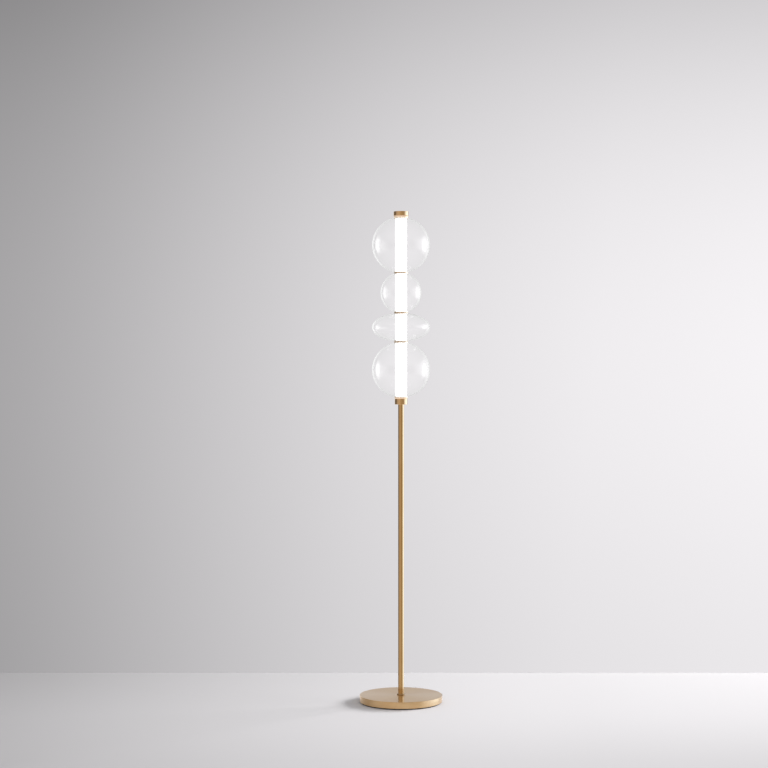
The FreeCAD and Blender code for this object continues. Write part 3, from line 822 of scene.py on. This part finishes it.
def clear_glass_finish():
    """Clear glass with the slight waves of blowing, and a faint painted glow, strongest where the glass
    faces the view, that stands in for the tube's light in it. Shadow rays pass straight through the
    wall, so the glass throws only a faint shadow."""
    material, tree, shader = principled("clear_glass")
    link = tree.links.new
    coords = node_line(tree, "ShaderNodeTexCoord", (-4, 2))
    waves = node_line(tree, "ShaderNodeTexNoise", (-3, 2), Scale=9.0, Detail=1.0, Roughness=0.4)
    link(coords.outputs["Object"], waves.inputs["Vector"])
    bump = node_line(tree, "ShaderNodeBump", (-2, 2), Strength=0.12, Distance=0.0008)
    link(waves.outputs["Fac"], bump.inputs["Height"])
    link(bump.outputs["Normal"], shader.inputs["Normal"])
    shader.inputs["Base Color"].default_value = (1.0, 1.0, 1.0, 1)
    facing = node_line(tree, "ShaderNodeLayerWeight", (-3, -1), Blend=0.5)
    painted_glow_ramp = tone_ramp(tree, (-2, -1), 0.0, PAINTED_GLOW_END, PAINTED_GLOW_TONES)
    link(facing.outputs["Facing"], painted_glow_ramp.inputs["Fac"])
    link(painted_glow_ramp.outputs["Color"], shader.inputs["Emission Color"])
    shader.inputs["Emission Strength"].default_value = 0.025
    shader.inputs["Roughness"].default_value = 0.0
    shader.inputs["IOR"].default_value = 1.48
    shader.inputs["Transmission Weight"].default_value = 1.0
    output = tree.nodes["Material Output"]
    path = node_line(tree, "ShaderNodeLightPath", (0, -2))
    through = node_line(tree, "ShaderNodeBsdfTransparent", (0, 2))
    through.inputs["Color"].default_value = (0.97, 0.975, 0.975, 1)
    either = node_line(tree, "ShaderNodeMixShader", (2, 0))
    link(path.outputs["Is Shadow Ray"], either.inputs["Fac"])
    link(shader.outputs["BSDF"], either.inputs[1])
    link(through.outputs["BSDF"], either.inputs[2])
    link(either.outputs["Shader"], output.inputs["Surface"])
    return material


clear_glass = clear_glass_finish()
for globe_node in ("globe_bottom", "globe_disc", "globe_small", "globe_top"):
    globe = blown_globe("blown_" + globe_node, globe_node)
    dress(globe, clear_glass, "clear_glass", "frame", globe_node)

# The dividing rings are thin turned brass discs with rounded edges, one between each two globes. They
# slip over the light tube, and the end cap presses them and the globes together.
ring_radii = [0.0003, 0.0009, 0.0009, 0.0003]
for ring_node in ("ring_lower", "ring_middle", "ring_upper"):
    ring = turned_ring("turned_" + ring_node, ring_node, ring_radii)
    dress(ring, turned_brass, "satin_brass", "frame", ring_node)

# The gaskets are clear silicone rings, two for each globe. They lie between brass and glass, and have
# a lip that centres the glass.
clear_silicone = speckled_finish(
    "clear_silicone",
    ((0.84, 0.85, 0.85), (0.88, 0.89, 0.89)),
    specks_per_metre=1500.0,
    roughness=(0.25, 0.4),
    speck_depth=0.00001,
)
finish_nodes(clear_silicone, "neck_gaskets")

# The collar under the end cap is a turned brass ring. Its sleeve turns freely in the cap, so it
# rises with the cap when that is unscrewed and does not rub on the glass.
top_collar_low, top_collar_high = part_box("top_collar")
cap_low, cap_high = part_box("top_cap")
sleeve_wall = 0.0015
sleeve_radius = ring_bore + sleeve_wall
top_collar_corners = [
    (ring_bore, top_collar_low.z),
    (top_collar_high.x, top_collar_low.z),
    (top_collar_high.x, cap_low.z),
    (sleeve_radius, cap_low.z),
    (sleeve_radius, top_collar_high.z),
    (ring_bore, top_collar_high.z),
]
top_collar_radii = [0.0003, 0.0025, 0.0025, 0.0002, 0.0003, 0.0003]
top_collar = spun_piece("turned_top_collar", rounded_outline(top_collar_corners, top_collar_radii))
# The top collar has the same painted glow as the lower one.
dress(top_collar, painted_glow_brass, "satin_brass", "collar", "top_collar")

# The end cap is turned from brass bar, hollow below for the collar's sleeve, and tapped for the tie
# rod, which it pulls up to press the globes and rings together.
sleeve_slip = 0.0002
recess_depth = 0.0056
cap_recess = sleeve_radius + sleeve_slip
recess_top = cap_low.z + recess_depth
cap_corners = [
    (0, recess_top),
    (cap_recess, recess_top),
    (cap_recess, cap_low.z),
    (cap_high.x, cap_low.z),
    (cap_high.x, cap_high.z),
    (0, cap_high.z),
]
cap_radii = [0, 0.0003, 0.0003, 0.0008, 0.0008, 0]
top_cap = disc_piece("turned_top_cap", cap_corners, cap_radii)
dress(top_cap, turned_brass, "satin_brass", "cap", "top_cap")

# The stage is a pale floor and a pale wall behind the lamp, with painted light and shade: their greys
# are brighter to the right and darker to the left, and change with the wall's height and the floor's
# depth. The wall shows these greys as its own glow. The wall shows from its front only, so that the
# lamp can be seen from behind, and both fade away at a distance. Brass and glass mirror the floor
# near the lamp and, past it, the surround.
FLOOR_HALF = 9.0
WALL_PLACE = 0.557
WALL_HEIGHT = 6.0
STAGE_TINT = np.array([1.007, 0.985, 1.007])
# Painted light and shade of the stage: greys across, leaning with height or depth, times greys along the
# wall's height or the floor's depth.
WALL_PAINTED_LIGHT = (
    (-2.4, 0.358), (-1.6, 0.358), (-0.9, 0.547), (-0.2, 0.739), (0.6, 0.876), (2.0, 1.0), (2.8, 1.0)
)
WALL_PAINTED_SHADE = ((0.0, 0.857), (0.7, 0.963), (1.4, 1.0), (2.1, 0.868), (2.8, 0.5), (3.5, 0.5))
WALL_LEAN = 0.097
FLOOR_PAINTED_LIGHT = (
    (-2.4, 0.496), (-1.6, 0.496), (-0.9, 0.658), (-0.2, 0.737), (0.6, 0.719), (2.0, 0.42), (2.8, 0.42)
)
FLOOR_PAINTED_SHADE = (
    (-1.65, 0.866), (-1.2, 0.866), (-0.75, 0.94), (-0.3, 1.0), (0.15, 0.964), (0.6, 0.935), (1.05, 0.935)
)
FLOOR_LEAN = 0.093
MIRRORED_FLOOR = (0.15, 0.35)
STAGE_FADE = (2.1, 3.4)
WALL_MIDDLE = (0.0, WALL_PLACE, 1.04)
ANY_BOUNCE = 0.5


def flat_sheet(name, corners):
    """One four-sided stage sheet."""
    mesh = bpy.data.meshes.new(name)
    mesh.from_pydata(corners, [], [(0, 1, 2, 3)])
    sheet = bpy.data.objects.new(name, mesh)
    bpy.context.scene.collection.objects.link(sheet)
    return sheet


floor = flat_sheet(
    "studio_floor",
    [
        (-FLOOR_HALF, -FLOOR_HALF, 0),
        (FLOOR_HALF, -FLOOR_HALF, 0),
        (FLOOR_HALF, FLOOR_HALF, 0),
        (-FLOOR_HALF, FLOOR_HALF, 0),
    ],
)
wall = flat_sheet(
    "studio_wall",
    [
        (-FLOOR_HALF, WALL_PLACE, 0),
        (FLOOR_HALF, WALL_PLACE, 0),
        (FLOOR_HALF, WALL_PLACE, WALL_HEIGHT),
        (-FLOOR_HALF, WALL_PLACE, WALL_HEIGHT),
    ],
)


def length_ramp(tree, place, source, stops, tint):
    """A smooth ramp through tints of grey, each given at its place along a length in metres."""
    first = stops[0][0]
    last = stops[-1][0]
    along = value_range(tree, place, 0.0, 1.0)
    along.inputs["From Min"].default_value = first
    along.inputs["From Max"].default_value = last
    tree.links.new(source, along.inputs["Value"])
    ramp = tone_ramp(tree, (place[0] + 1, place[1]), 0.0, 1.0, (tint * stops[0][1], tint * stops[-1][1]))
    ramp.color_ramp.interpolation = "B_SPLINE"
    for length, grey in stops[1:-1]:
        ramp.color_ramp.elements.new((length - first) / (last - first)).color = (*(tint * grey), 1)
    tree.links.new(along.outputs["Result"], ramp.inputs["Fac"])
    return ramp.outputs["Color"]


def stage_finish(name, tones, axis, shades, lean, socket):
    """Matt pale paint with painted light and shade: darker to the left, and shaded along another axis,
    along which the left-hand tones lean over. It feeds the named socket."""
    material, tree, shader = principled(name)
    link = tree.links.new
    coords = node_line(tree, "ShaderNodeTexCoord", (-6, 0))
    split = node_line(tree, "ShaderNodeSeparateXYZ", (-5, 0))
    link(coords.outputs["Object"], split.inputs[0])
    leaned = node_line(tree, "ShaderNodeMath", (-4, -1.5))
    leaned.operation = "MULTIPLY_ADD"
    leaned.inputs[1].default_value = -lean
    link(split.outputs[axis], leaned.inputs[0])
    link(split.outputs["X"], leaned.inputs[2])
    paint = node_line(tree, "ShaderNodeMix", (-1.5, 1))
    paint.data_type = "RGBA"
    paint.blend_type = "MULTIPLY"
    paint.inputs["Factor"].default_value = 1.0
    link(length_ramp(tree, (-4, 0), leaned.outputs[0], tones, STAGE_TINT), paint.inputs["A"])
    link(length_ramp(tree, (-4, 2), split.outputs[axis], shades, np.ones(3)), paint.inputs["B"])
    link(paint.outputs["Result"], shader.inputs[socket])
    shader.inputs["Roughness"].default_value = 0.8
    shader.inputs["Specular IOR Level"].default_value = 0.1
    return material, tree, shader, coords.outputs["Object"]


def mirrored_share(tree, place):
    """1 along a path that brass or glass has mirrored, and 0 along any other."""
    path = node_line(tree, "ShaderNodeLightPath", place)
    mirrored = node_line(tree, "ShaderNodeMath", (place[0] + 1, place[1]))
    mirrored.operation = "GREATER_THAN"
    mirrored.inputs[1].default_value = ANY_BOUNCE
    tree.links.new(path.outputs["Glossy Depth"], mirrored.inputs[0])
    return mirrored.outputs[0]


def larger(tree, place, first, second):
    """The larger of two values."""
    most = node_line(tree, "ShaderNodeMath", place)
    most.operation = "MAXIMUM"
    tree.links.new(first, most.inputs[0])
    tree.links.new(second, most.inputs[1])
    return most.outputs[0]


def seen_share(tree, place):
    """1 along a path straight from the camera or through glass, and 0 along any other."""
    path = node_line(tree, "ShaderNodeLightPath", place)
    straight = path.outputs["Is Camera Ray"]
    return larger(tree, (place[0] + 1, place[1]), straight, path.outputs["Is Transmission Ray"])


def see_through(sheet, material, tree, shader, share):
    """Paint a stage sheet, which lets light through by the share."""
    clear = node_line(tree, "ShaderNodeBsdfTransparent", (0, 2))
    either = node_line(tree, "ShaderNodeMixShader", (2, 0))
    tree.links.new(share, either.inputs["Fac"])
    tree.links.new(shader.outputs["BSDF"], either.inputs[1])
    tree.links.new(clear.outputs["BSDF"], either.inputs[2])
    tree.links.new(either.outputs["Shader"], tree.nodes["Material Output"].inputs["Surface"])
    sheet.data.materials.append(material)


def way_off(tree, place, spot, middle, near, far):
    """A share that rises from 0 to 1 between two distances from a point."""
    distance = node_line(tree, "ShaderNodeVectorMath", place)
    distance.operation = "DISTANCE"
    distance.inputs[1].default_value = middle
    tree.links.new(spot, distance.inputs[0])
    return smooth_rise(tree, (place[0] + 1, place[1]), distance.outputs["Value"], near, far)


def paint_floor():
    """The floor, which is mirrored only near the lamp."""
    material, tree, shader, spot = stage_finish(
        "floor_paint", FLOOR_PAINTED_LIGHT, "Y", FLOOR_PAINTED_SHADE, FLOOR_LEAN, "Base Color"
    )
    middle = (0.0, 0.0, 0.0)
    past_mirrored = way_off(tree, (-3, -3), spot, middle, *MIRRORED_FLOOR)
    hidden = product(tree, (-1, -3), past_mirrored, mirrored_share(tree, (-3, -4)))
    faded = way_off(tree, (-3, -5), spot, middle, *STAGE_FADE)
    see_through(floor, material, tree, shader, larger(tree, (0, -3), hidden, faded))


def paint_wall():
    """The wall, which shows in its own colour to the camera and through glass. It is neither mirrored
    nor seen from behind, and stops no light."""
    material, tree, shader, spot = stage_finish(
        "wall_paint", WALL_PAINTED_LIGHT, "Z", WALL_PAINTED_SHADE, WALL_LEAN, "Emission Color"
    )
    shader.inputs["Emission Strength"].default_value = 1.0
    shader.inputs["Base Color"].default_value = (0.0, 0.0, 0.0, 1)
    side = node_line(tree, "ShaderNodeNewGeometry", (-2, -2))
    unseen = node_line(tree, "ShaderNodeMath", (-1, -4))
    unseen.operation = "SUBTRACT"
    unseen.inputs[0].default_value = 1.0
    tree.links.new(seen_share(tree, (-3, -4)), unseen.inputs[1])
    behind = larger(tree, (-1, -2), side.outputs["Backfacing"], mirrored_share(tree, (-3, -3)))
    faded = way_off(tree, (-3, -6), spot, WALL_MIDDLE, *STAGE_FADE)
    hidden = larger(tree, (0, -2), behind, unseen.outputs[0])
    see_through(wall, material, tree, shader, larger(tree, (1, -2), hidden, faded))


paint_floor()
paint_wall()

# Soft studio light: a broad softbox in front, one on the right, and a lower one behind that, which
# throws the base's shadow. None of them is seen or mirrored itself.


def softbox(name, place, aim, width, height, watts):
    """A rectangular soft light at a place, turned to face a point."""
    data = bpy.data.lights.new(name, "AREA")
    data.shape = "RECTANGLE"
    data.size = width
    data.size_y = height
    data.energy = watts
    lamp = bpy.data.objects.new(name, data)
    lamp.location = place
    direction = np.subtract(aim, place)
    across = math.hypot(direction[0], direction[1])
    lamp.rotation_euler = (math.atan2(across, -direction[2]), 0, math.atan2(-direction[0], direction[1]))
    lamp.visible_camera = False
    lamp.visible_glossy = False
    lamp.visible_transmission = False
    bpy.context.scene.collection.objects.link(lamp)


softbox("front_softbox", (0.3, -4.5, 1.3), (0.3, 0.5, 1.3), width=3.0, height=2.0, watts=65)
softbox("right_softbox", (4.6, -0.4, 2.0), (0, 0, 0.9), width=2.4, height=1.2, watts=110)
softbox("back_softbox", (4.0, 2.1, 1.65), (0, 0, 0), width=2.0, height=1.3, watts=300)

# The surround that brass and glass mirror: a broad light on the right that reaches round behind the
# lamp, dim tones in front and a dark gap on the left, which only brass shows in full. A tone's place
# is its direction in degrees, from the camera's side round to the right. It is pale where it is seen.
LIT_LEVEL = (0.44, 0.44, 0.44, 1)
SEEN_LEVEL = (0.76, 0.745, 0.76, 1)
BRASS_SEES = (
    (-180, (0.62, 0.61, 0.62)),
    (-172, (0.68, 0.67, 0.68)),
    (-162, (0.95, 0.94, 0.95)),
    (-150, (0.85, 0.84, 0.85)),
    (-140, (0.35, 0.34, 0.33)),
    (-126, (0.12, 0.11, 0.10)),
    (-98, (0.11, 0.09, 0.08)),
    (-78, (0.42, 0.37, 0.35)),
    (-58, (0.54, 0.48, 0.45)),
    (-28, (0.64, 0.54, 0.46)),
    (-4, (0.48, 0.39, 0.28)),
    (20, (0.41, 0.33, 0.23)),
    (46, (0.38, 0.31, 0.23)),
    (56, (0.42, 0.40, 0.36)),
    (66, (1.05, 1.15, 1.4)),
    (84, (1.3, 1.5, 2.0)),
    (96, (1.5, 1.8, 2.5)),
    (104, (2.0, 2.5, 3.4)),
    (119, (2.0, 2.5, 3.4)),
    (128, (1.2, 1.4, 1.7)),
    (140, (0.85, 0.88, 0.95)),
    (154, (0.66, 0.65, 0.66)),
    (180, (0.62, 0.61, 0.62)),
)
GLASS_SEES_GREYS = (
    (-180, 0.84),
    (-172, 0.86),
    (-162, 1.04),
    (-150, 0.96),
    (-140, 0.5),
    (-128, 0.2),
    (-121, 1.2),
    (-116, 1.6),
    (-102, 1.6),
    (-94, 0.7),
    (-60, 0.45),
    (48, 0.4),
    (66, 1.2),
    (96, 2.1),
    (104, 2.8),
    (119, 2.8),
    (128, 1.6),
    (140, 1.0),
    (154, 0.86),
    (180, 0.84),
)
GLASS_SEES = [(degrees, (grey, grey, grey)) for degrees, grey in GLASS_SEES_GREYS]
BRASS_OFF_LEVEL = ((0.88, 0.85, 0.83), (0.66, 0.62, 0.58))
GLASS_OFF_LEVEL = ((0.7, 0.7, 0.7), (0.7, 0.7, 0.7))
OFF_LEVEL_STOPS = (0.35, 0.65)
LEVEL_BELOW = (-0.4, -0.1)
LEVEL_ABOVE = (0.52, 0.13)
world = bpy.data.worlds.new("studio_surround")
bpy.context.scene.world = world
world.use_nodes = True
surround = world.node_tree
direction = node_line(surround, "ShaderNodeTexCoord", (-7, 0))
sides = node_line(surround, "ShaderNodeSeparateXYZ", (-6, 0))
surround.links.new(direction.outputs["Generated"], sides.inputs[0])
ahead = node_line(surround, "ShaderNodeMath", (-5, 1))
ahead.operation = "MULTIPLY"
ahead.inputs[1].default_value = -1.0
surround.links.new(sides.outputs["Y"], ahead.inputs[0])
turn = node_line(surround, "ShaderNodeMath", (-4, 0))
turn.operation = "ARCTAN2"
surround.links.new(sides.outputs["X"], turn.inputs[0])
surround.links.new(ahead.outputs[0], turn.inputs[1])
around = value_range(surround, (-3, 0), 0.0, 1.0)
around.inputs["From Min"].default_value = -math.pi
around.inputs["From Max"].default_value = math.pi
surround.links.new(turn.outputs[0], around.inputs["Value"])
low_edge = smooth_rise(surround, (-3, 3), sides.outputs["Z"], *LEVEL_BELOW)
high_edge = smooth_rise(surround, (-3, 4.4), sides.outputs["Z"], *LEVEL_ABOVE)
level = product(surround, (-2, 3.6), low_edge, high_edge)
height = value_range(surround, (-4, 2), 0.0, 1.0)
height.inputs["From Min"].default_value = -1.0
surround.links.new(sides.outputs["Z"], height.inputs["Value"])


def seen_round(place, tones, off_level):
    """The surround's tones by direction along the level, and one tone each below and above it."""
    ramp = tone_ramp(surround, place, 0.0, 1.0, (tones[0][1], tones[-1][1]))
    for degrees, tone in tones[1:-1]:
        ramp.color_ramp.elements.new(0.5 + degrees / 360).color = (*tone, 1)
    surround.links.new(around.outputs["Result"], ramp.inputs["Fac"])
    blend = node_line(surround, "ShaderNodeMix", (place[0] + 2, place[1]))
    blend.data_type = "RGBA"
    far = tone_ramp(surround, (place[0] + 1, place[1] + 0.7), *OFF_LEVEL_STOPS, off_level)
    surround.links.new(height.outputs["Result"], far.inputs["Fac"])
    surround.links.new(far.outputs["Color"], blend.inputs["A"])
    surround.links.new(level, blend.inputs["Factor"])
    surround.links.new(ramp.outputs["Color"], blend.inputs["B"])
    return blend.outputs["Result"]


path = node_line(surround, "ShaderNodeLightPath", (-3, -2.4))
sharp = node_line(surround, "ShaderNodeMix", (2, 1))
sharp.data_type = "RGBA"
surround.links.new(path.outputs["Is Singular Ray"], sharp.inputs["Factor"])
surround.links.new(seen_round((-2, 0), BRASS_SEES, BRASS_OFF_LEVEL), sharp.inputs["A"])
surround.links.new(seen_round((-2, 1.5), GLASS_SEES, GLASS_OFF_LEVEL), sharp.inputs["B"])
pale = node_line(surround, "ShaderNodeMix", (-1, -1))
pale.data_type = "RGBA"
pale.inputs["A"].default_value = LIT_LEVEL
pale.inputs["B"].default_value = SEEN_LEVEL
surround.links.new(seen_share(surround, (-3, -2)), pale.inputs["Factor"])
mirror = node_line(surround, "ShaderNodeMix", (3, 0))
mirror.data_type = "RGBA"
surround.links.new(mirrored_share(surround, (-3, -3.6)), mirror.inputs["Factor"])
surround.links.new(pale.outputs["Result"], mirror.inputs["A"])
surround.links.new(sharp.outputs["Result"], mirror.inputs["B"])
surround.links.new(mirror.outputs["Result"], surround.nodes["Background"].inputs["Color"])

bpy.context.scene.view_settings.view_transform = "Standard"
